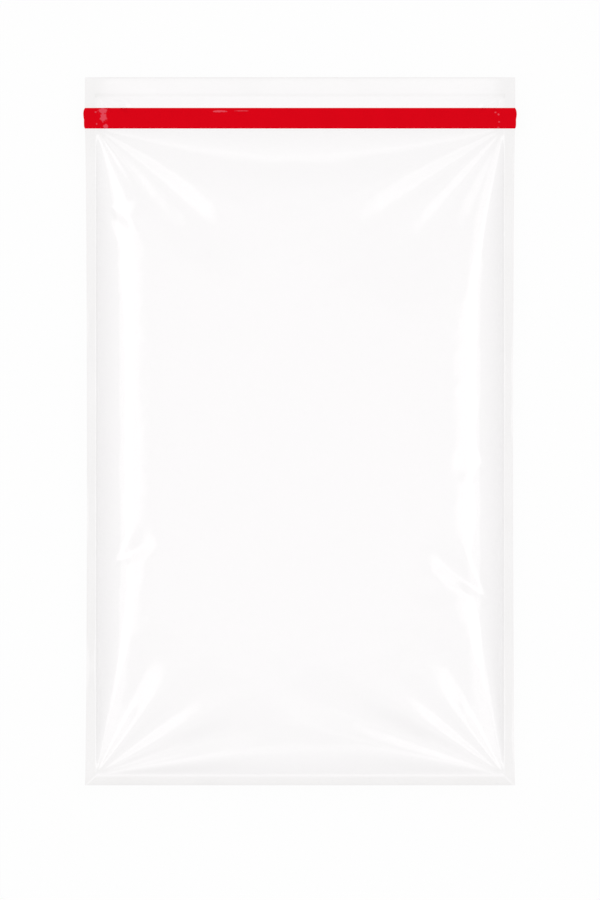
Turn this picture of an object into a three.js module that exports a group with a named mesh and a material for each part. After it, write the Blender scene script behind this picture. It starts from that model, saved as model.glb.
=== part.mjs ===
// Clear cellophane bag lying on its back: two plies of film heat-sealed along all four edges,
// lightly filled with air, with a red tape stuck across the front just below the top seal.
// Millimetres and degrees. The table is z = 0, +Y points to the taped end, +Z out of the front.

import * as THREE from "three";

// Film and its seals
const BAG_WIDTH = 200;
const BAG_LENGTH = 329;
const SEAL_THICKNESS = 0.2;
const SIDE_SEAL = 5.2;
const BOTTOM_SEAL = 4.9;
const TOP_SEAL = 8.4;
const SIDE_DRAW_IN = 1; // how far each side edge is pulled in by the air, at mid-length

// Tape
const TAPE_WIDTH = 9.6;
const TAPE_THICKNESS = 0.15;
const TAPE_GAP = 0.1; // the adhesive between the tape and the film
const TAPE_OVERHANG = 0.4; // each cut end stands this far past the film's edge
const TAPE_TO_TOP_SEAL = 5.9;

// Air pillow
const RIM_HEIGHT = 9; // the seals' middle plane, above the table
const FRONT_CROWN = 12; // the front ply's rise over the seals
const BACK_CROWN = 11.5; // the back ply's drop below the seals, before the table flattens it
const FRONT_RISE_UNDER_TAPE = 0.5;
const BACK_DROP_UNDER_TAPE = 0.6;
const SIDE_ROUNDING = 14.5; // run in which most of the rise from a side seal is reached
const BOTTOM_ROUNDING = 20;
const TAPE_ROUNDING = 24;
const HOLD_DOWN_ROUNDING = 6; // the same for the narrow stretch that the tape holds down
const CORNER_PINCH = 0.5; // how much shorter these runs are in the pouch's corners

// Spacing of the mesh, at the seals and in the middle
const FINE_STEP = 3;
const COARSE_STEP = 7;
const LIP_STEPS = 3; // between the tape and the top seal

// Lines that bound the pouch and the tape
const halfWidth = BAG_WIDTH / 2;
const halfLength = BAG_LENGTH / 2;
const pouchSide = halfWidth - SIDE_SEAL;
const pouchBottom = BOTTOM_SEAL - halfLength;
const pouchTop = halfLength - TOP_SEAL;
const tapeTop = pouchTop - TAPE_TO_TOP_SEAL;
const tapeBottom = tapeTop - TAPE_WIDTH;

// Folds fan out from a point. A fan opens over a range of angles, counted from straight across the
// bag towards its length. Each fold has an angle, a lift for each unit of run from the point (a drop
// if below zero), the reach at which it has faded out, and the turn it has swung through by there.
const FOLD_START = 0.2; // how soon a fold stands up along its run: sooner towards 0
const FOLD_FADE = 3; // how late it fades out: later if higher
const BACK_FOLD_SHARE = 0.2; // how much of the corners' folds shows in the back ply

const CORNER_FANS = [
  {
    point: { x: -pouchSide, y: tapeBottom },
    heading: { x: 1, y: -1 },
    opens: { from: 0, to: 90 },
    folds: [
      { angle: 7, lift: 0.012, reach: 130 },
      { angle: 16, lift: 0.004, reach: 110 },
      { angle: 24, lift: 0, reach: 105, turn: 6 },
      { angle: 38, lift: -0.088, reach: 100, turn: 6 },
      { angle: 56, lift: -0.01, reach: 46 },
      { angle: 63, lift: -0.042, reach: 50 },
      { angle: 80, lift: 0.025, reach: 75 },
    ],
  },
  {
    point: { x: pouchSide, y: tapeBottom },
    heading: { x: -1, y: -1 },
    opens: { from: 0, to: 90 },
    folds: [
      { angle: 7, lift: 0.015, reach: 160 },
      { angle: 16, lift: 0, reach: 130 },
      { angle: 23, lift: 0, reach: 122, turn: 4 },
      { angle: 36, lift: -0.065, reach: 118, turn: 4 },
      { angle: 47, lift: -0.02, reach: 104, turn: -14 },
      { angle: 59, lift: -0.072, reach: 102, turn: -14 },
      { angle: 82, lift: 0.02, reach: 110 },
    ],
  },
  {
    point: { x: -pouchSide, y: pouchBottom },
    heading: { x: 1, y: 1 },
    opens: { from: 0, to: 90 },
    folds: [
      { angle: 4, lift: 0.03, reach: 110 },
      { angle: 13, lift: -0.045, reach: 92 },
      { angle: 28, lift: 0.03, reach: 80 },
      { angle: 39, lift: -0.04, reach: 78 },
      { angle: 52, lift: 0.01, reach: 88 },
      { angle: 64, lift: -0.04, reach: 84 },
      { angle: 80, lift: 0.02, reach: 100 },
    ],
  },
  {
    point: { x: pouchSide, y: pouchBottom },
    heading: { x: -1, y: 1 },
    opens: { from: 0, to: 90 },
    folds: [
      { angle: 5, lift: -0.01, reach: 90 },
      { angle: 17, lift: 0.055, reach: 112, turn: -5 },
      { angle: 25, lift: -0.05, reach: 110, turn: -5 },
      { angle: 34, lift: 0.015, reach: 86 },
      { angle: 43, lift: -0.035, reach: 84 },
      { angle: 50, lift: -0.005, reach: 94 },
      { angle: 62, lift: -0.055, reach: 96 },
      { angle: 83, lift: 0.02, reach: 110 },
    ],
  },
];

// Four knocks in the sides of the front ply, each with its distance from a side seal and from the
// tape or the bottom seal.
const LEFT_UPPER_KNOCK = { fromSide: 4.2, fromTape: 36.4 };
const LEFT_LOWER_KNOCK = { fromSide: 6.5, fromBottom: 97 };
const RIGHT_MIDDLE_KNOCK = { fromSide: 7, fromBottom: 142.5 };
const RIGHT_LOWER_KNOCK = { fromSide: 6.5, fromBottom: 80.2 };

const KNOCK_FANS = [
  {
    point: { x: LEFT_UPPER_KNOCK.fromSide - pouchSide, y: tapeBottom - LEFT_UPPER_KNOCK.fromTape },
    heading: { x: 1, y: -1 },
    opens: { from: -25, to: 95 },
    folds: [
      { angle: 0, lift: 0, reach: 36 },
      { angle: 26, lift: -0.085, reach: 38 },
      { angle: 60, lift: 0.01, reach: 36 },
    ],
  },
  {
    point: { x: LEFT_LOWER_KNOCK.fromSide - pouchSide, y: pouchBottom + LEFT_LOWER_KNOCK.fromBottom },
    heading: { x: 1, y: 1 },
    opens: { from: -75, to: 85 },
    folds: [
      { angle: -35, lift: 0.03, reach: 36 },
      { angle: 6, lift: 0.06, reach: 36 },
      { angle: 30, lift: -0.08, reach: 38 },
      { angle: 60, lift: 0.03, reach: 34 },
    ],
  },
  {
    point: {
      x: pouchSide - RIGHT_MIDDLE_KNOCK.fromSide,
      y: pouchBottom + RIGHT_MIDDLE_KNOCK.fromBottom,
    },
    heading: { x: -1, y: 1 },
    opens: { from: -50, to: 60 },
    folds: [
      { angle: -18, lift: 0.055, reach: 24 },
      { angle: 18, lift: -0.055, reach: 26 },
    ],
  },
  {
    point: {
      x: pouchSide - RIGHT_LOWER_KNOCK.fromSide,
      y: pouchBottom + RIGHT_LOWER_KNOCK.fromBottom,
    },
    heading: { x: -1, y: 1 },
    opens: { from: -45, to: 84 },
    folds: [
      { angle: -10, lift: 0.02, reach: 36 },
      { angle: 20, lift: 0.075, reach: 44 },
      { angle: 40, lift: -0.075, reach: 42 },
      { angle: 64, lift: 0.035, reach: 40 },
    ],
  },
];

// How much of its full rise the film has reached at a distance inside a seal: 0 on it, then to 1.
function rise(distance, rounding) {
  return distance > 0 ? 1 - Math.exp(-distance / rounding) : 0;
}

function acrossBag(x, rounding) {
  return rise(pouchSide + x, rounding) * rise(pouchSide - x, rounding);
}

// The stretch that the tape holds down: level under the tape, down to nothing at the top seal.
function heldDown(x, y) {
  const toTopSeal = THREE.MathUtils.clamp((pouchTop - y) / TAPE_TO_TOP_SEAL, 0, 1);
  const toBottomSeal = rise(y - pouchBottom, BOTTOM_ROUNDING);
  return acrossBag(x, HOLD_DOWN_ROUNDING) * Math.sin((toTopSeal * Math.PI) / 2) * toBottomSeal;
}

// The open pillow between the tape and the bottom seal, which stands up sooner in its corners.
function pillow(x, y) {
  const fromTape = tapeBottom - y;
  const fromBottom = y - pouchBottom;
  const nearSide = 1 - rise(pouchSide - Math.abs(x), SIDE_ROUNDING);
  const nearEnd = 1 - Math.min(rise(fromTape, TAPE_ROUNDING), rise(fromBottom, BOTTOM_ROUNDING));
  const sidePinch = 1 - CORNER_PINCH * nearEnd ** 2;
  const endPinch = 1 - CORNER_PINCH * nearSide ** 2;
  return (
    acrossBag(x, SIDE_ROUNDING * sidePinch) *
    rise(fromTape, TAPE_ROUNDING * endPinch) *
    rise(fromBottom, BOTTOM_ROUNDING * endPinch)
  );
}

// The height of a fan's folds: each is a rounded ridge or valley between its neighbours' angles.
function fanHeight(x, y, { point, heading, opens, folds }) {
  const runX = (x - point.x) * heading.x;
  const runY = (y - point.y) * heading.y;
  const run = Math.hypot(runX, runY);
  const bearing = THREE.MathUtils.radToDeg(Math.atan2(runY, runX));
  let height = 0;
  folds.forEach(({ angle, lift, reach, turn = 0 }, i) => {
    const before = angle - (i > 0 ? folds[i - 1].angle : opens.from);
    const after = (i + 1 < folds.length ? folds[i + 1].angle : opens.to) - angle;
    const share = Math.min(1, run / reach);
    const offLine = bearing - angle - turn * share;
    const roof = Math.min(1 + offLine / before, 1 - offLine / after);
    const fade = (1 - share ** FOLD_FADE) ** 2 * share ** FOLD_START;
    height += lift * run * THREE.MathUtils.smoothstep(roof, 0, 1) * fade;
  });
  return height;
}

function foldHeight(x, y, fans) {
  return fans.reduce((height, fan) => height + fanHeight(x, y, fan), 0);
}

function frontHeight(x, y) {
  const bulge = (FRONT_CROWN - FRONT_RISE_UNDER_TAPE) * pillow(x, y);
  const held = FRONT_RISE_UNDER_TAPE * heldDown(x, y);
  const folds = foldHeight(x, y, [...CORNER_FANS, ...KNOCK_FANS]);
  return RIM_HEIGHT + SEAL_THICKNESS / 2 + bulge + held + folds;
}

// The back ply would hang as a pillow too, but it lies flat where it meets the table.
function backHeight(x, y) {
  const bulge = (BACK_CROWN - BACK_DROP_UNDER_TAPE) * pillow(x, y);
  const held = BACK_DROP_UNDER_TAPE * heldDown(x, y);
  const folds = BACK_FOLD_SHARE * foldHeight(x, y, CORNER_FANS);
  return Math.max(0, RIM_HEIGHT - SEAL_THICKNESS / 2 - bulge - held - folds);
}

// How far the side edge is drawn in, from nothing at the bottom edge and the tape.
function drawnIn(y) {
  const share = THREE.MathUtils.clamp((y + halfLength) / (tapeBottom + halfLength), 0, 1);
  return SIDE_DRAW_IN * Math.sqrt(Math.sin(share * Math.PI));
}

// Stations from start to end, close together at both ends and wide apart in the middle.
function stations(start, end) {
  const steps = Math.round(((end - start) * 2) / (FINE_STEP + COARSE_STEP));
  const swing = (COARSE_STEP - FINE_STEP) / (COARSE_STEP + FINE_STEP);
  return Array.from({ length: steps + 1 }, (_, i) => {
    const turn = (i / steps) * 2 * Math.PI;
    return start + ((end - start) * (turn - swing * Math.sin(turn))) / (2 * Math.PI);
  });
}

const acrossStations = [-halfWidth, ...stations(-pouchSide, pouchSide), halfWidth];

const lipStations = Array.from(
  { length: LIP_STEPS },
  (_, i) => tapeTop + (TAPE_TO_TOP_SEAL * (i + 1)) / LIP_STEPS,
);
const alongStations = [
  -halfLength,
  ...stations(pouchBottom, tapeBottom),
  tapeTop,
  ...lipStations,
  halfLength,
];

// The film as one closed body: a front and a back sheet of quads, joined by a rim of the seals'
// thickness. Each quad is split along the diagonal that points to its nearest corner.
function filmGeometry() {
  const columns = acrossStations.length;
  const rows = alongStations.length;
  const positions = [];
  for (const heightAt of [frontHeight, backHeight]) {
    for (const y of alongStations) {
      for (const x of acrossStations) {
        const overSeal = Math.max(0, Math.abs(x) - pouchSide) / SIDE_SEAL;
        positions.push(x - Math.sign(x) * overSeal * drawnIn(y), y, heightAt(x, y));
      }
    }
  }
  const front = (i, j) => j * columns + i;
  const back = (i, j) => (rows + j) * columns + i;
  const triangles = [];
  const quad = (a, b, c, d) => triangles.push(a, b, c, a, c, d);
  const turnedQuad = (a, b, c, d) => triangles.push(a, b, d, b, c, d);
  for (let j = 0; j + 1 < rows; j++) {
    for (let i = 0; i + 1 < columns; i++) {
      const middleX = acrossStations[i] + acrossStations[i + 1];
      const middleY = alongStations[j] + alongStations[j + 1];
      const split = middleX * middleY > 0 ? quad : turnedQuad;
      split(front(i, j), front(i + 1, j), front(i + 1, j + 1), front(i, j + 1));
      const splitBack = middleX * middleY > 0 ? turnedQuad : quad;
      splitBack(back(i + 1, j), back(i, j), back(i, j + 1), back(i + 1, j + 1));
    }
  }
  for (let i = 0; i + 1 < columns; i++) {
    quad(back(i, 0), back(i + 1, 0), front(i + 1, 0), front(i, 0));
    quad(back(i + 1, rows - 1), back(i, rows - 1), front(i, rows - 1), front(i + 1, rows - 1));
  }
  for (let j = 0; j + 1 < rows; j++) {
    quad(back(0, j + 1), back(0, j), front(0, j), front(0, j + 1));
    quad(
      back(columns - 1, j),
      back(columns - 1, j + 1),
      front(columns - 1, j + 1),
      front(columns - 1, j),
    );
  }
  const geometry = new THREE.BufferGeometry();
  geometry.setAttribute("position", new THREE.Float32BufferAttribute(positions, 3));
  geometry.setIndex(triangles);
  geometry.computeVertexNormals();
  return geometry;
}

// The tape's section follows the front film's stations, one adhesive gap above it, and is
// extruded over the tape's width.
function tapeGeometry() {
  const tapeMiddle = (tapeTop + tapeBottom) / 2;
  const tapeEnd = halfWidth + TAPE_OVERHANG;
  const underside = [-tapeEnd, ...acrossStations.slice(1, -1), tapeEnd].map(
    (x) => new THREE.Vector2(x, frontHeight(x, tapeMiddle) + TAPE_GAP),
  );
  const topside = underside.map(({ x, y }) => new THREE.Vector2(x, y + TAPE_THICKNESS));
  const section = new THREE.Shape([...underside, ...topside.reverse()]);
  return new THREE.ExtrudeGeometry(section, { depth: TAPE_WIDTH, bevelEnabled: false })
    .rotateX(Math.PI / 2)
    .translate(0, tapeTop, 0);
}

const film = new THREE.MeshStandardMaterial({
  color: 0xf4f5f6,
  roughness: 0.12,
  metalness: 0,
  transparent: true,
  opacity: 0.4,
});
const tape = new THREE.MeshStandardMaterial({ color: 0xd90617, roughness: 0.45, metalness: 0 });

const filmBag = new THREE.Mesh(filmGeometry(), film);
filmBag.name = "film_bag";

const redTape = new THREE.Mesh(tapeGeometry(), tape);
redTape.name = "red_tape";

const cellophaneBag = new THREE.Group();
cellophaneBag.add(filmBag, redTape);

export default cellophaneBag;
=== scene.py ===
import math

import bpy
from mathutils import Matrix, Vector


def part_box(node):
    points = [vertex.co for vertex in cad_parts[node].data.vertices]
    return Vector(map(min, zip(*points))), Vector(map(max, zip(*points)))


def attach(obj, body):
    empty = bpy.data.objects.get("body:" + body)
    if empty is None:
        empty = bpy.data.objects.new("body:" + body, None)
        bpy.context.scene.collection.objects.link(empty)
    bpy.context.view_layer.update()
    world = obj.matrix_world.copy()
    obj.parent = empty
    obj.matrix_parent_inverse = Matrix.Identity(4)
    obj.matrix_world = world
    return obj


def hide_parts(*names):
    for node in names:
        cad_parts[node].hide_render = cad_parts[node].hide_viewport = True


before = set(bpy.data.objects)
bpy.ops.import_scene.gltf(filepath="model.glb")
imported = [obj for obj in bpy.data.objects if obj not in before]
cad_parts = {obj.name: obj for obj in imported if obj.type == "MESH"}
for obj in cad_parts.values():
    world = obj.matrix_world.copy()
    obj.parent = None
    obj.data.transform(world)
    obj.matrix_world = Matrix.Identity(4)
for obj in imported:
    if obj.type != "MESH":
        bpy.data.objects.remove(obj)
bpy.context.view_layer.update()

# Film bag
# Two plies of clear cellophane, welded to each other along all four edges with some air left in.
# The front ply stands up as a pillow and the back ply lies flat on the table. Both are gathered
# into folds that fan out from the corners and from four knocks in the sides.
film_low, film_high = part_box("film_bag")
tape_low, tape_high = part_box("red_tape")

SIDE_WELD = 0.0052
BOTTOM_WELD = 0.0049
TOP_WELD = 0.0084
BEAD = 0.0006  # the line of film that the welding bar squeezed out along each weld's inner edge
END_BEAD = 0.0012  # the same line along the bottom and top welds, where it is wider
SEAM = 1e-6  # points closer than this are one

half_width = film_high.x
half_length = film_high.y
pouch_side = half_width - SIDE_WELD
pouch_bottom = BOTTOM_WELD - half_length
pouch_top = half_length - TOP_WELD

POUCH_INPUTS = {
    "Half Width": half_width,
    "Half Length": half_length,
    "Pouch Side": pouch_side,
    "Pouch Bottom": pouch_bottom,
    "Pouch Top": pouch_top,
    "Tape Bottom": tape_low.y,
    "Tape Top": tape_high.y,
    "Weld Thickness": 0.0002,
    "Edge Rounding": 0.0012,
    "Bead Height": 0.00008,
    "Frill": 0.5,
    "Frill Waves": 25,
    "Side Draw In": 0.001,
    "Rim Height": 0.009,
    "Front Crown": 0.012,
    "Back Crown": 0.0115,
    "Front Rise Under Tape": 0.0003,
    "Back Drop Under Tape": 0.0004,
    "Side Rounding": 0.0145,
    "Bottom Rounding": 0.02,
    "Tape Rounding": 0.024,
    "Hold Down Rounding": 0.006,
    "Table Rounding": 0.004,
    "Corner Pinch": 0.5,
    "Crinkle": 0.0009,
    "Crinkle Waves": 60,
    "Back Fold Share": 0.2,
    # How dull the film is, where 1 is an even weld, with painted shade in the gathered corners and
    # painted highlights along the beads
    "Corner Shade Run": 0.007,
    "Weld Unevenness": 0.8,
    "Weld Waves": 30,
    "Bottom Edge Dullness": 0.4,
    "Top Weld Dullness": 0.2,
    "Top Rim Dullness": 1.3,
    "Top Corner Fade": 0.0078,
    "Clear Patch Place": 0.076,
    "Clear Patch Run": 0.02,
    # Painted highlight along the side and end beads, and painted shade along the top weld's bead
    "Bead Painted Highlight": 0.4,
    "End Bead Painted Highlight": 1.2,
    "Top Bead Shade": 2,
    "Most Dullness": 1.5,
}

# A fan starts in a point and opens over a range of angles, counted from straight across the bag
# towards its length. Each fold has an angle, a rise for each unit of run from the point (a fall if
# below zero), the run at which it has faded out, and how far it has swung round by there. A fold
# with no rise is a flat line, where its neighbours' flanks end. A high fade holds the folds up for
# longer and ends them more suddenly. A fan that gathers the film in its point also darkens it there
# with painted shade, and shows faintly in the back ply.
FANS = [
    # Below the tape, left and right
    dict(
        point=(-pouch_side, tape_low.y), heading=(1, -1), opens=(0, 90), gathers_and_shades=1.1, fade=2,
        folds=[
            (10, 0.012, 0.150, 0), (24, -0.015, 0.115, 6), (38, -0.14, 0.098, 6),
            (53, -0.03, 0.080, 0), (60, -0.045, 0.050, 0), (68, 0, 0.050, 0),
            (78, 0, 0.060, 0),
        ],
    ),
    dict(
        point=(pouch_side, tape_low.y), heading=(-1, -1), opens=(0, 90), gathers_and_shades=1.0, fade=2,
        folds=[
            (9, 0.009, 0.160, 0), (22, -0.01, 0.118, 0), (36, -0.16, 0.108, 0),
            (42, -0.155, 0.110, 0), (53, -0.215, 0.104, 0), (80, 0.01, 0.100, 0),
        ],
    ),
    # Bottom corners, left and right
    dict(
        point=(-pouch_side, pouch_bottom), heading=(1, 1), opens=(0, 90), gathers_and_shades=1.2, fade=2,
        folds=[
            (8, 0.05, 0.105, 0), (18, -0.09, 0.095, 0), (28, -0.01, 0.086, 0),
            (39, -0.11, 0.082, 0), (52, -0.025, 0.088, 0), (64, -0.08, 0.082, 0),
            (80, 0.02, 0.100, 0),
        ],
    ),
    dict(
        point=(pouch_side, pouch_bottom), heading=(-1, 1), opens=(0, 90), gathers_and_shades=1.1, fade=2,
        folds=[
            (12, 0.05, 0.130, 0), (22, -0.095, 0.122, 0), (33, -0.005, 0.084, 0),
            (43, -0.09, 0.080, 0), (51, -0.03, 0.094, 0), (63, -0.088, 0.088, 0),
            (83, 0.02, 0.110, 0),
        ],
    ),
    # Below the top weld, left and right
    dict(
        point=(-pouch_side, pouch_top), heading=(1, -1), opens=(7, 90), gathers_and_shades=1.0, fade=6,
        folds=[
            (21, 0.12, 0.018, 0), (30, 0, 0.014, 0), (44, 0.12, 0.011, 0),
            (56, -0.01, 0.009, 0),
        ],
    ),
    dict(
        point=(pouch_side, pouch_top), heading=(-1, -1), opens=(14, 90), gathers_and_shades=1.0, fade=6,
        folds=[
            (29, 0.13, 0.014, 0), (38, 0, 0.012, 0), (51, 0.11, 0.010, 0),
            (62, -0.01, 0.009, 0),
        ],
    ),
    # Knocks in the left side, then in the right one
    dict(
        point=(-0.0901, 0.1037), heading=(1, -1), opens=(-25, 85), gathers_and_shades=0, fade=3,
        folds=[(-8, -0.08, 0.014, 0), (24, 0.1, 0.020, 0), (50, -0.05, 0.020, 0)],
    ),
    dict(
        point=(-0.0883, -0.0626), heading=(1, 1), opens=(-75, 85), gathers_and_shades=0, fade=3,
        folds=[
            (-35, 0.03, 0.030, 0), (6, 0.06, 0.026, 0), (30, -0.08, 0.026, 0),
            (60, 0.03, 0.026, 0),
        ],
    ),
    dict(
        point=(0.0878, -0.0171), heading=(-1, 1), opens=(-50, 60), gathers_and_shades=0, fade=3,
        folds=[(-18, 0.065, 0.016, 0), (18, -0.065, 0.017, 0)],
    ),
    dict(
        point=(0.0883, -0.0794), heading=(-1, 1), opens=(-45, 84), gathers_and_shades=0, fade=3,
        folds=[
            (-10, 0.02, 0.036, 0), (20, 0.075, 0.044, 0), (40, -0.075, 0.042, 0),
            (64, 0.035, 0.040, 0),
        ],
    ),
]


class Field:
    """A value that nodes work out, so that a tree can be written as plain arithmetic."""

    def __init__(self, tree, socket):
        self.tree = tree
        self.socket = socket

    def math(self, operation, *others):
        node = self.tree.nodes.new("ShaderNodeMath")
        node.operation = operation
        for entry, value in zip(node.inputs, (self, *others)):
            connect(self.tree, value, entry)
        return Field(self.tree, node.outputs[0])

    def __add__(self, other):
        return self.math("ADD", other)

    def __sub__(self, other):
        return self.math("SUBTRACT", other)

    def __neg__(self):
        return self.math("MULTIPLY", -1)

    def __rsub__(self, other):
        return -self + other

    def __mul__(self, other):
        return self.math("MULTIPLY", other)

    def __truediv__(self, other):
        return self.math("DIVIDE", other)

    __radd__ = __add__
    __rmul__ = __mul__

    def size(self):
        return self.math("ABSOLUTE")

    def at_least(self, floor):
        return self.math("MAXIMUM", floor)

    def at_most(self, ceiling):
        return self.math("MINIMUM", ceiling)

    def as_share(self):
        return self.at_least(0).at_most(1)


def connect(tree, value, entry):
    """Feeds a node's input from a field, or sets it to a plain value."""
    if isinstance(value, Field):
        tree.links.new(value.socket, entry)
    else:
        entry.default_value = value


def add_node(tree, kind, settings=None, **inputs):
    """A new node with its settings, and its inputs by name with spaces written as underscores."""
    node = tree.nodes.new(kind)
    for name, value in (settings or {}).items():
        setattr(node, name, value)
    for name, value in inputs.items():
        connect(tree, value, node.inputs[name.replace("_", " ")])
    return node


def field_of(tree, kind, settings=None, **inputs):
    """The first output of a new node, as a field."""
    return Field(tree, add_node(tree, kind, settings, **inputs).outputs[0])


def new_tree(name, inputs, output, output_type):
    """A geometry tree with number inputs and one output, and its inputs as fields by name."""
    tree = bpy.data.node_groups.new(name, "GeometryNodeTree")
    tree.interface.new_socket(output, in_out="OUTPUT", socket_type=output_type)
    for label in inputs:
        tree.interface.new_socket(label, in_out="INPUT", socket_type="NodeSocketFloat")
    entry = tree.nodes.new("NodeGroupInput")
    return tree, {label: Field(tree, entry.outputs[label]) for label in inputs}


def place_at(tree, x, y, z=0):
    """A place from its three coordinates."""
    return field_of(tree, "ShaderNodeCombineXYZ", X=x, Y=y, Z=z)


def coordinates(tree, place):
    """The three coordinates of a place."""
    parted = add_node(tree, "ShaderNodeSeparateXYZ", Vector=place)
    return [Field(tree, parted.outputs[axis]) for axis in "XYZ"]


def span(across, along):
    """The straight distance that two runs at right angles cover."""
    return (across * across + along * along).math("SQRT")


def wavy(place, waves, seed, detail=1):
    """Soft noise from about -0.5 to 0.5, with this many waves to the metre."""
    noise = field_of(
        place.tree, "ShaderNodeTexNoise", {"noise_dimensions": "4D"},
        Vector=place, W=seed, Scale=waves, Detail=detail, Roughness=0.5,
    )
    return noise - 0.5


def fold_group():
    """One fold of a fan: a rounded ridge or valley that starts in a point and fades out."""
    inputs = ("Run X", "Run Y", "Angle", "Before", "After", "Lift", "Reach", "Turn", "Fade")
    tree, given = new_tree("Fold", inputs, "Height", "NodeSocketFloat")
    soft_start = 0.2
    run = span(given["Run X"], given["Run Y"])
    share = (run / given["Reach"]).at_most(1)
    bearing = given["Run Y"].math("ARCTAN2", given["Run X"])
    off_line = bearing - given["Angle"] - given["Turn"] * share
    roof = (1 + off_line / given["Before"]).at_most(1 - off_line / given["After"]).at_least(0)
    rounded = roof * roof * (3 - 2 * roof)
    left_over = 1 - share.math("POWER", given["Fade"])
    fade = left_over * left_over * share.math("POWER", soft_start)
    leave = tree.nodes.new("NodeGroupOutput")
    connect(tree, given["Lift"] * run * rounded * fade, leave.inputs["Height"])
    return tree


def folded(x, y, fans, group):
    """The height of all folds of these fans."""
    total = 0
    for fan in fans:
        run_x = (x - fan["point"][0]) * fan["heading"][0]
        run_y = (y - fan["point"][1]) * fan["heading"][1]
        angles = [fan["opens"][0], *(fold[0] for fold in fan["folds"]), fan["opens"][1]]
        for fold, last, following in zip(fan["folds"], angles, angles[2:]):
            angle, lift, reach, turn = fold
            total = total + field_of(
                x.tree, "GeometryNodeGroup", {"node_tree": group},
                Run_X=run_x, Run_Y=run_y, Angle=math.radians(angle),
                Before=math.radians(angle - last), After=math.radians(following - angle),
                Lift=lift, Reach=reach, Turn=math.radians(turn), Fade=fan["fade"],
            )
    return total


def stepped_place(step, start, zones):
    """The place along a side of the sheet, from mesh steps through zones of length, steps and grading.

    The grading spaces a zone's steps evenly at 0, and ever closer at both of its ends towards 1.
    """
    place = start
    first = 0
    for length, steps, grading in zones:
        share = ((step - first) / steps).as_share()
        spread = share - (share * math.tau).math("SINE") * (grading / math.tau)
        place = spread * length + place
        first += steps
    return place


def flat_film(tree):
    """One ply laid flat as a fine sheet, and where its points are across and along the bag."""
    weld_steps = 8
    tape_steps = 8
    lip_steps = 8
    bead_steps = 2
    pouch_steps_across = 128
    pouch_steps_along = 298
    even = 0
    close_at_sides = 0.75
    close_at_ends = 0.3
    bead = (BEAD, bead_steps, even)
    side_weld = (SIDE_WELD - BEAD / 2, weld_steps, even)
    across = [
        side_weld,
        bead,
        (2 * pouch_side - BEAD, pouch_steps_across, close_at_sides),
        bead,
        side_weld,
    ]
    along = [
        (BOTTOM_WELD - BEAD / 2, weld_steps, even),
        bead,
        (tape_low.y - pouch_bottom - BEAD / 2, pouch_steps_along, close_at_ends),
        (tape_high.y - tape_low.y, tape_steps, even),
        (pouch_top - tape_high.y - BEAD / 2, lip_steps, even),
        bead,
        (TOP_WELD - BEAD / 2, weld_steps, even),
    ]
    columns = sum(steps for length, steps, grading in across)
    rows = sum(steps for length, steps, grading in along)
    sheet = field_of(
        tree, "GeometryNodeMeshGrid",
        Size_X=columns, Size_Y=rows, Vertices_X=columns + 1, Vertices_Y=rows + 1,
    )
    step_x, step_y, _ = coordinates(tree, field_of(tree, "GeometryNodeInputPosition"))
    x = stepped_place(step_x + columns / 2, -half_width, across)
    y = stepped_place(step_y + rows / 2, -half_length, along)
    return sheet, x, y


class FilmPlace:
    """A point of the flat film, and how far it is from the tape and the welds' inner edges."""

    def __init__(self, given, x, y):
        self.x = x
        self.y = y
        self.flat = place_at(x.tree, x, y)
        self.from_left = given["Pouch Side"] + x
        self.from_right = given["Pouch Side"] - x
        self.from_bottom = y - given["Pouch Bottom"]
        self.from_top = given["Pouch Top"] - y
        self.from_tape = given["Tape Bottom"] - y
        self.past_side = x.size() - given["Pouch Side"]
        self.past_end = (-self.from_bottom).at_least(-self.from_top)
        self.past_pouch = self.past_side.at_least(self.past_end)
        self.at_top = y.math("GREATER_THAN", 0)
        self.at_end = self.past_end.math("GREATER_THAN", self.past_side)


def falloff(distance, run):
    """1 at no distance, and ever less beyond it: about a third after one run."""
    return (-(distance.at_least(0) / run)).math("EXPONENT")


def rise(distance, rounding):
    """How much of its full rise the film has reached inside a weld: 0 on it, then up to 1."""
    return 1 - falloff(distance, rounding)


def air_pillow(given, spot):
    """The pillow of air, and the stretch that the tape holds down: 0 where flat, up to 1.

    The pillow stands up sooner near its corners.
    """
    near_side = falloff(spot.from_left.at_most(spot.from_right), given["Side Rounding"])
    near_bottom = falloff(spot.from_bottom, given["Bottom Rounding"])
    near_tape = falloff(spot.from_tape, given["Tape Rounding"])
    near_end = near_bottom.at_least(near_tape)
    end_pinch = 1 - given["Corner Pinch"] * near_side * near_side
    side_pinch = 1 - given["Corner Pinch"] * near_end * near_end
    to_bottom = rise(spot.from_bottom, given["Bottom Rounding"] * end_pinch)
    pillow = (
        rise(spot.from_left, given["Side Rounding"] * side_pinch)
        * rise(spot.from_right, given["Side Rounding"] * side_pinch)
        * rise(spot.from_tape, given["Tape Rounding"] * end_pinch)
        * to_bottom
    )
    lip = given["Pouch Top"] - given["Tape Top"]
    quarter_turn = (spot.from_top / lip).as_share() * (math.pi / 2)
    held = (
        rise(spot.from_left, given["Hold Down Rounding"])
        * rise(spot.from_right, given["Hold Down Rounding"])
        * quarter_turn.math("SINE")
        * to_bottom
    )
    return pillow, held


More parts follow.
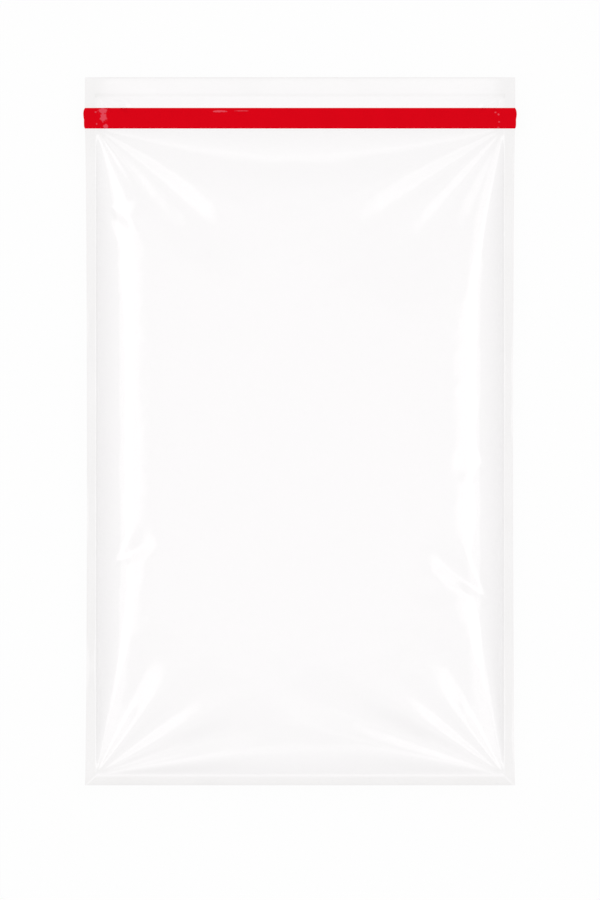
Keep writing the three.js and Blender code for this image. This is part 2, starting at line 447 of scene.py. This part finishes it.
def weld_relief(given, spot):
    """Half of the welds' thickness, their bead as a share of its height, and their wavy frill.

    A mitre line of the bead runs through each bottom corner, where two welds meet.
    """
    from_edge = (given["Half Width"] - spot.x.size()).at_most(given["Half Length"] - spot.y.size())
    half_weld = given["Weld Thickness"] / 2 * (from_edge / given["Edge Rounding"]).at_most(1)
    # Only the bottom corners have a mitre, so the top half counts as a metre off it
    off_mitre = (spot.past_side / SIDE_WELD - spot.past_end / BOTTOM_WELD).size() * SIDE_WELD
    off_mitre = off_mitre + spot.at_top
    inside_corner = (-spot.past_side.at_most(spot.past_end)).at_least(0)
    off_bead = spot.past_pouch.size().at_most(off_mitre + inside_corner)
    bead_width = BEAD + spot.at_end * (END_BEAD - BEAD)
    bead = (1 - off_bead / bead_width).at_least(0)
    frill = spot.past_pouch.at_least(0) * wavy(spot.flat, given["Frill Waves"], seed=1) * given["Frill"]
    return half_weld, bead, frill


def film_dullness_and_painted_light(given, spot, bead, gathered):
    """How dull the film is: 0 in the clear pouch, and about 1 on the welds, with painted shade in
    gathered corners.

    The welds are uneven. The bottom one gets duller towards its edge, and the wide top one is
    nearly clear but for its rim. A bead and the bottom mitre lines get a painted highlight, but on the
    top weld the bead is a painted dark line of shade.
    """
    lead = 1.5  # bead widths inside a weld's edge where its dullness starts
    rim_sharpness = 12
    down_bottom_weld = (-spot.from_bottom / BOTTOM_WELD).at_least(0)
    clouds = wavy(spot.flat, given["Weld Waves"], seed=7) * given["Weld Unevenness"]
    uneven = 1 + clouds + down_bottom_weld * given["Bottom Edge Dullness"]
    welded = (spot.past_pouch / BEAD + lead).as_share() * uneven

    on_top_weld = spot.at_top * spot.past_end.math("GREATER_THAN", -END_BEAD)
    off_corner = (-spot.past_side / given["Top Corner Fade"]).as_share()
    off_clear_patch = (spot.x.size() - given["Clear Patch Place"]) / given["Clear Patch Run"]
    clear_patch = falloff(off_clear_patch * off_clear_patch, 1)
    rim = (spot.past_end / TOP_WELD).at_least(0).math("POWER", rim_sharpness)
    top_dullness = given["Top Weld Dullness"] * (1 - clear_patch) + rim * given["Top Rim Dullness"]
    dullness = welded * (1 - on_top_weld * off_corner * (1 - top_dullness))

    # Painted shade: the film's tint darkens around the point of each fan that gathers it
    for fan in gathered:
        run = span(spot.x - fan["point"][0], spot.y - fan["point"][1])
        dullness = dullness.at_least(falloff(run, given["Corner Shade Run"]) * fan["gathers_and_shades"])
    # Painted highlight: the tint is lightened along the beads and mitre lines, and darkened as painted
    # shade on the top weld's bead
    side_or_end_painted_highlight = given["Bead Painted Highlight"] + spot.at_end * given["End Bead Painted Highlight"]
    bead_painted_highlight = side_or_end_painted_highlight - on_top_weld * given["Top Bead Shade"]
    return (dullness - bead * bead_painted_highlight).at_least(0).at_most(given["Most Dullness"])


def drawn_in(given, spot):
    """How far the air draws the side edges in: most halfway along, nothing at the tape and bottom."""
    share_along = (spot.y + given["Half Length"]) / (given["Tape Bottom"] + given["Half Length"])
    swing = (share_along.as_share() * math.pi).math("SINE").at_least(0).math("SQRT")
    return given["Side Draw In"] * swing * (spot.past_side / SIDE_WELD).at_least(0)


def laid_out(sheet, x, y, z):
    """The sheet with its points moved to these coordinates."""
    place = place_at(sheet.tree, x, y, z)
    return field_of(sheet.tree, "GeometryNodeSetPosition", Geometry=sheet, Position=place)


def closed_skin(first, second):
    """Two sheets joined to one closed skin along their common edge."""
    tree = first.tree
    join = tree.nodes.new("GeometryNodeJoinGeometry")
    tree.links.new(first.socket, join.inputs[0])
    tree.links.new(second.socket, join.inputs[0])
    both = Field(tree, join.outputs[0])
    return field_of(tree, "GeometryNodeMergeByDistance", Geometry=both, Distance=SEAM)


def end_tree(skin, material):
    """Ends a tree with this skin in its material."""
    real = field_of(skin.tree, "GeometryNodeRealizeInstances", Geometry=skin)
    painted = field_of(skin.tree, "GeometryNodeSetMaterial", Geometry=real, Material=material)
    leave = skin.tree.nodes.new("NodeGroupOutput")
    connect(skin.tree, painted, leave.inputs["Geometry"])


def film_pouch_tree(material):
    """The whole bag: two plies from the same flat sheet, joined along their edges."""
    tree, given = new_tree("Film pouch", POUCH_INPUTS, "Geometry", "NodeSocketGeometry")
    sheet, x, y = flat_film(tree)
    spot = FilmPlace(given, x, y)
    pillow, held = air_pillow(given, spot)
    half_weld, bead, frill = weld_relief(given, spot)
    gathered = [fan for fan in FANS if fan["gathers_and_shades"]]
    marked = field_of(
        tree, "GeometryNodeStoreNamedAttribute", {"data_type": "FLOAT", "domain": "POINT"},
        Geometry=sheet, Name="dullness", Value=film_dullness_and_painted_light(given, spot, bead, gathered),
    )

    group = fold_group()
    crinkle = given["Crinkle"] * pillow
    front = (
        given["Rim Height"] + frill + half_weld + given["Bead Height"] * bead
        + folded(x, y, FANS, group)
        + crinkle * wavy(spot.flat, given["Crinkle Waves"], seed=2, detail=2)
        + (given["Front Crown"] - given["Front Rise Under Tape"]) * pillow
        + given["Front Rise Under Tape"] * held
    )
    back = (
        given["Rim Height"] + frill - half_weld - given["Bead Height"] * bead
        - folded(x, y, gathered, group) * given["Back Fold Share"]
        - crinkle * wavy(spot.flat, given["Crinkle Waves"], seed=3, detail=2)
        - (given["Back Crown"] - given["Back Drop Under Tape"]) * pillow
        - given["Back Drop Under Tape"] * held
    )
    off_table = back.math("SMOOTH_MAX", 0, given["Table Rounding"])
    narrowed = x - drawn_in(given, spot) * x.math("SIGN")
    back_ply = field_of(tree, "GeometryNodeFlipFaces", Mesh=laid_out(marked, narrowed, y, off_table))
    front_ply = laid_out(marked, narrowed, y, front)

    crisp_bend = 1  # radians, past which an edge stays sharp
    bend = field_of(tree, "GeometryNodeInputMeshEdgeAngle")
    smooth = field_of(
        tree, "GeometryNodeSetShadeSmooth", Geometry=closed_skin(back_ply, front_ply)
    )
    crisp = field_of(
        tree, "GeometryNodeSetShadeSmooth", {"domain": "EDGE"},
        Geometry=smooth, Selection=bend.math("GREATER_THAN", crisp_bend), Shade_Smooth=False,
    )
    end_tree(crisp, material)
    return tree


def grown_piece(name, tree, inputs):
    """The tree's result as an object with a plain mesh."""
    maker = bpy.data.objects.new(name, bpy.data.meshes.new(name))
    bpy.context.scene.collection.objects.link(maker)
    modifier = maker.modifiers.new(name, "NODES")
    modifier.node_group = tree
    for item in tree.interface.items_tree:
        if item.in_out == "INPUT":
            modifier[item.identifier] = float(inputs[item.name])
    depsgraph = bpy.context.evaluated_depsgraph_get()
    mesh = bpy.data.meshes.new_from_object(maker.evaluated_get(depsgraph))
    maker.modifiers.remove(modifier)
    maker.data = mesh
    mesh.name = name
    return maker


def mixed_colour(tree, share, first, second):
    """The first colour where the share is 0, and the second where it is 1."""
    mix = add_node(
        tree, "ShaderNodeMix", {"data_type": "RGBA", "clamp_factor": False},
        Factor=share, A=first, B=second,
    )
    return Field(tree, mix.outputs["Result"])


CLEAR_FILM = (0.9972, 0.9905, 0.9928, 1)
# The welds' haze, and also the painted shade in the gathered corners
DULL_AND_SHADED_FILM = (0.963, 0.957, 0.957, 1)
FILM_CLOUDINESS = 0.12
FILM_CLOUD_WAVES = 14
FILM_ROUGHNESS = 0.03
DULL_ROUGHNESS = 0.03  # added where the film is dull
HEAD_ON_SHINE = 0.077  # the share of light that both faces of a ply mirror, seen from straight ahead
GLANCING_POWER = 5  # how late the shine grows to a full mirror towards a glancing view


def film_material():
    """Clear film with dull welds, painted shade in its gathered corners and painted highlights along
    its beads, which mirrors more at a glancing view.
    """
    material = bpy.data.materials.new("clear_cellophane")
    material.use_nodes = True
    tree = material.node_tree
    tree.nodes.clear()
    place = Field(tree, add_node(tree, "ShaderNodeTexCoord").outputs["Object"])
    named = add_node(tree, "ShaderNodeAttribute", {"attribute_name": "dullness"})
    dullness = Field(tree, named.outputs["Fac"])
    cloudy = wavy(place, FILM_CLOUD_WAVES, seed=4) * FILM_CLOUDINESS
    tint = mixed_colour(tree, dullness + cloudy, CLEAR_FILM, DULL_AND_SHADED_FILM)
    clear = add_node(tree, "ShaderNodeBsdfTransparent", Color=tint)
    roughness = FILM_ROUGHNESS + dullness * DULL_ROUGHNESS
    gloss = add_node(tree, "ShaderNodeBsdfGlossy", Color=(1, 1, 1, 1), Roughness=roughness)
    facing = Field(tree, add_node(tree, "ShaderNodeLayerWeight", Blend=0.5).outputs["Facing"])
    mirrored = facing.math("POWER", GLANCING_POWER) * (1 - HEAD_ON_SHINE) + HEAD_ON_SHINE
    film = add_node(tree, "ShaderNodeMixShader", Fac=mirrored)
    tree.links.new(clear.outputs[0], film.inputs[1])
    tree.links.new(gloss.outputs[0], film.inputs[2])
    leave = tree.nodes.new("ShaderNodeOutputMaterial")
    tree.links.new(film.outputs[0], leave.inputs["Surface"])
    return material


film_bag = grown_piece("film_bag_skin", film_pouch_tree(film_material()), POUCH_INPUTS)
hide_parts("film_bag")
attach(film_bag, "root")

# Red tape
# A strip of red self-adhesive tape across the whole front, pressed onto the film below the top
# weld. Small patches, most of them near its ends, have not bonded: they lift a little, and a paler
# red painted on them stands in for their highlights.
TAPE_INPUTS = {
    "Left": tape_low.x,
    "Right": tape_high.x,
    "Bottom": tape_low.y,
    "Top": tape_high.y,
    "Thickness": 0.00015,
    "Adhesive": 0.0001,
    "Patch Lift": 0.0002,
    "Corner Rounding": 0.0005,
    "End Bulge": 0.0003,
    # Where the bulge is, as shares of half the tape's width, up from its middle line
    "Bulge Middle": 0.4,
    "Bulge Reach": 0.5,
}

# Patches that have not bonded, which lift and carry a painted highlight: middle across and along the
# bag, half length and half width
LOOSE_AND_HIGHLIGHTED_PATCHES = [
    (-0.0915, 0.1488, 0.0025, 0.0014),
    (-0.0913, 0.1457, 0.0017, 0.0021),
    (-0.0903, 0.1416, 0.0012, 0.0012),
    (-0.0950, 0.1483, 0.0005, 0.0004),
    (-0.0945, 0.1427, 0.0004, 0.0005),
    (-0.0373, 0.1486, 0.0034, 0.0005),
    (-0.0270, 0.1488, 0.0036, 0.0002),
    (0.0908, 0.1481, 0.0005, 0.0004),
    (0.0922, 0.1471, 0.0005, 0.0005),
    (0.0925, 0.1437, 0.0004, 0.0004),
    (0.0920, 0.1411, 0.0004, 0.0004),
]
PATCH_RAGGEDNESS = 1.6
PATCH_WAVES = 900
PATCH_SHARPNESS = 4  # how soon a patch is fully loose inside its edge


def loose_and_highlighted_patches(x, y):
    """1 where the tape has not bonded and carries a painted highlight, 0 elsewhere, with ragged edges.
    """
    flat_place = place_at(x.tree, x, y)
    ragged = wavy(flat_place, PATCH_WAVES, seed=5, detail=2) * PATCH_RAGGEDNESS
    total = 0
    for middle_x, middle_y, half_x, half_y in LOOSE_AND_HIGHLIGHTED_PATCHES:
        off_middle = span((x - middle_x) / half_x, (y - middle_y) / half_y) + ragged
        patch = ((1 - off_middle) * PATCH_SHARPNESS).as_share()
        total = patch + total
    return total.at_most(1)


def tape_tree(material):
    """The strip, with bulged ends, laid onto the film and given its thickness."""
    tree, given = new_tree("Taped strip", TAPE_INPUTS, "Geometry", "NodeSocketGeometry")
    columns = 400
    rows = 20
    end_sharpness = 60  # a high power keeps the bulge close to the ends
    corner_sharpness = 8
    # The flat sheet goes from -1 to 1 both ways, so its points are shares of the strip
    sheet = field_of(
        tree, "GeometryNodeMeshGrid",
        Size_X=2, Size_Y=2, Vertices_X=columns + 1, Vertices_Y=rows + 1,
    )
    along, across, _ = coordinates(tree, field_of(tree, "GeometryNodeInputPosition"))
    at_end = along.size().math("POWER", end_sharpness)
    off_bulge = (across - given["Bulge Middle"]) / given["Bulge Reach"]
    bulge = (1 - off_bulge * off_bulge).at_least(0)
    corner = across.size().math("POWER", corner_sharpness)
    out = (given["End Bulge"] * bulge - given["Corner Rounding"] * corner) * at_end
    half_long = (given["Right"] - given["Left"]) / 2
    half_wide = (given["Top"] - given["Bottom"]) / 2
    x = (given["Left"] + given["Right"]) / 2 + half_long * along + out * along.math("SIGN")
    y = (given["Bottom"] + given["Top"]) / 2 + half_wide * across

    # The strip is dropped onto the film from above. Its ends reach past the film and stay level.
    drop = 1
    film = add_node(tree, "GeometryNodeObjectInfo", Object=film_bag)
    over_film = x.at_least(film_low.x + BEAD).at_most(film_high.x - BEAD)
    fall = add_node(
        tree, "GeometryNodeRaycast", {"data_type": "FLOAT"},
        Target_Geometry=Field(tree, film.outputs["Geometry"]),
        Source_Position=place_at(tree, over_film, y, drop),
        Ray_Direction=(0, 0, -1), Ray_Length=2 * drop,
    )
    landing = coordinates(tree, Field(tree, fall.outputs["Hit Position"]))[2]
    height = landing + given["Adhesive"] + given["Patch Lift"] * loose_and_highlighted_patches(x, y)
    underside = laid_out(sheet, x, y, height)
    topside = field_of(
        tree, "GeometryNodeExtrudeMesh", Mesh=underside,
        Offset=place_at(tree, 0, 0, given["Thickness"]), Individual=False,
    )
    turned = field_of(tree, "GeometryNodeFlipFaces", Mesh=underside)
    end_tree(closed_skin(turned, topside), material)
    return tree


DEEP_RED = (0.68, 0.0004, 0.0066, 1)
BRIGHT_RED = (0.73, 0.0005, 0.0077, 1)
# Painted highlight: the pale red of the loose patches
PAINTED_HIGHLIGHT_RED = (0.776, 0.068, 0.1, 1)
MOTTLE_WAVES = 120
TAPE_ROUGHNESS = 0.45
TAPE_SHINE = 0.02


def tape_material():
    """Faintly mottled red, with a painted highlight of paler red where the tape has not bonded."""
    material = bpy.data.materials.new("red_tape")
    material.use_nodes = True
    tree = material.node_tree
    shader = tree.nodes["Principled BSDF"]
    place = Field(tree, add_node(tree, "ShaderNodeTexCoord").outputs["Object"])
    x, y, _ = coordinates(tree, place)
    mottled = mixed_colour(tree, wavy(place, MOTTLE_WAVES, seed=6) + 0.5, DEEP_RED, BRIGHT_RED)
    # Painted highlight: the loose patches are paled towards a light pink
    painted_highlight = mixed_colour(tree, loose_and_highlighted_patches(x, y), mottled, PAINTED_HIGHLIGHT_RED)
    connect(tree, painted_highlight, shader.inputs["Base Color"])
    shader.inputs["Roughness"].default_value = TAPE_ROUGHNESS
    shader.inputs["Specular IOR Level"].default_value = TAPE_SHINE
    return material


red_tape = grown_piece("red_tape_strip", tape_tree(tape_material()), TAPE_INPUTS)
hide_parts("red_tape")
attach(red_tape, "root")

# Studio
# The camera looks straight down from far above. The floor is white, and the light comes from a
# white room with a long soft box on each side, one beyond the taped end, and a lamp overhead.
PHOTO_HEIGHT = 900
BAG_WIDTH_IN_PHOTO = 430.5
BAG_MIDDLE_IN_PHOTO = 431.2
CAMERA_DISTANCE = 6
SENSOR = 36

pixel = 2 * half_width / BAG_WIDTH_IN_PHOTO
camera_data = bpy.data.cameras.new("camera")
camera_data.sensor_width = SENSOR
camera_data.lens = SENSOR * CAMERA_DISTANCE / (PHOTO_HEIGHT * pixel)
camera = bpy.data.objects.new("camera", camera_data)
camera.location = (
    0,
    (BAG_MIDDLE_IN_PHOTO - PHOTO_HEIGHT / 2) * pixel,
    POUCH_INPUTS["Rim Height"] + CAMERA_DISTANCE,
)
bpy.context.scene.collection.objects.link(camera)
bpy.context.scene.camera = camera

FLOOR_DROP = 0.0004
FLOOR_REACH = 30
FLOOR_GLOW = 0.933
FLOOR_GREY = (0.06, 0.06, 0.06, 1)


def seen_directly(tree):
    """1 for rays that come from the camera straight, by a mirror or through clear film."""
    path = tree.nodes.new("ShaderNodeLightPath")
    return (
        Field(tree, path.outputs["Is Camera Ray"])
        .at_least(Field(tree, path.outputs["Is Glossy Ray"]))
        .at_least(Field(tree, path.outputs["Is Transmission Ray"]))
    )


def white_floor_material():
    """A white glow where the floor is seen, and a dark matt share that takes the bag's shadow."""
    material = bpy.data.materials.new("white_floor")
    material.use_nodes = True
    tree = material.node_tree
    tree.nodes.clear()
    strength = seen_directly(tree) * FLOOR_GLOW
    glow = add_node(tree, "ShaderNodeEmission", Color=(1, 1, 1, 1), Strength=strength)
    matt = add_node(tree, "ShaderNodeBsdfDiffuse", Color=FLOOR_GREY)
    both = tree.nodes.new("ShaderNodeAddShader")
    tree.links.new(glow.outputs[0], both.inputs[0])
    tree.links.new(matt.outputs[0], both.inputs[1])
    leave = tree.nodes.new("ShaderNodeOutputMaterial")
    tree.links.new(both.outputs[0], leave.inputs["Surface"])
    return material


floor_mesh = bpy.data.meshes.new("floor")
floor_corners = [
    (x * FLOOR_REACH, y * FLOOR_REACH, -FLOOR_DROP) for x, y in ((-1, -1), (1, -1), (1, 1), (-1, 1))
]
floor_mesh.from_pydata(floor_corners, [], [(0, 1, 2, 3)])
floor_mesh.materials.append(white_floor_material())
floor = bpy.data.objects.new("floor", floor_mesh)
bpy.context.scene.collection.objects.link(floor)

LAMP_SIZE = 2
LAMP_POWER = 8
LAMP_HEIGHT = 2

lamp_data = bpy.data.lights.new("overhead_lamp", "AREA")
lamp_data.shape = "SQUARE"
lamp_data.size = LAMP_SIZE
lamp_data.energy = LAMP_POWER
lamp = bpy.data.objects.new("overhead_lamp", lamp_data)
lamp.location = (0, 0, LAMP_HEIGHT)
lamp.visible_glossy = False
bpy.context.scene.collection.objects.link(lamp)

# The room's light by direction. A span says where a light starts and where it is full, and for a
# box also where it fades and ends, from 0 to 1 up, out to a side or along towards an end.
WALL_LIGHT = 0.1
DOME_LIGHT = 0.82
DOME_SPAN = (0.1, 0.85)
CEILING_LIGHT = 0.05
CEILING_SPAN = (0.975, 1)
TAPED_END_SHADE = 0.08
BOTTOM_END_SHADE = 0.14
SHADE_SPAN = (0.02, 0.35)
SIDE_BOX_LIGHT = 0.52
SIDE_BOX_SPAN = (0.28, 0.42, 0.57, 0.63)
END_BOX_LIGHT = 0.18
END_BOX_SPAN = (0.46, 0.54, 0.58, 0.66)
END_BOX_FADE_TO_SIDES = (0.1, 0.28)
END_GLOW_LIGHT = 0.36
END_GLOW_SPAN = (0.4, 0.65)
BOXES_ABOVE_FLOOR = (0, 0.1)


def straight_step(value, start, end):
    """0 before the start, 1 after the end, and a straight slope between."""
    return ((value - start) / (end - start)).as_share()


def soft_step(value, start, end):
    """0 before the start, 1 after the end, and a smooth step between."""
    return field_of(
        value.tree, "ShaderNodeMapRange", {"interpolation_type": "SMOOTHSTEP"},
        Value=value, From_Min=start, From_Max=end,
    )


def soft_box(value, start, full, fade, end):
    """1 between full and fade, 0 before the start and after the end, and smooth steps between."""
    return soft_step(value, start, full) * (1 - soft_step(value, fade, end))


def room_light(tree):
    """How bright the room is in each direction."""
    direction = Field(tree, add_node(tree, "ShaderNodeTexCoord").outputs["Generated"])
    across, onward, upward = coordinates(tree, direction)
    sideways = across.size()
    room = WALL_LIGHT + straight_step(upward, *DOME_SPAN) * DOME_LIGHT
    ceiling = straight_step(upward, *CEILING_SPAN) * CEILING_LIGHT
    taped_end = soft_step(onward, *SHADE_SPAN) * TAPED_END_SHADE
    bottom_end = soft_step(-onward, *SHADE_SPAN) * BOTTOM_END_SHADE
    side_boxes = soft_box(sideways, *SIDE_BOX_SPAN) * SIDE_BOX_LIGHT
    end_box_middle = 1 - soft_step(sideways, *END_BOX_FADE_TO_SIDES)
    end_box = soft_box(onward, *END_BOX_SPAN) * end_box_middle * END_BOX_LIGHT
    end_glow = soft_step(onward, *END_GLOW_SPAN) * END_GLOW_LIGHT
    boxes = (side_boxes + end_box + end_glow) * soft_step(upward, *BOXES_ABOVE_FLOOR)
    return room + ceiling - taped_end - bottom_end + boxes


world = bpy.data.worlds.new("studio")
bpy.context.scene.world = world
world.use_nodes = True
tree = world.node_tree
tree.nodes.clear()
path = tree.nodes.new("ShaderNodeLightPath")
strength = room_light(tree).at_least(Field(tree, path.outputs["Is Camera Ray"]))
background = add_node(tree, "ShaderNodeBackground", Color=(1, 1, 1, 1), Strength=strength)
leave = tree.nodes.new("ShaderNodeOutputWorld")
tree.links.new(background.outputs[0], leave.inputs["Surface"])

bpy.context.scene.view_settings.view_transform = "Standard"
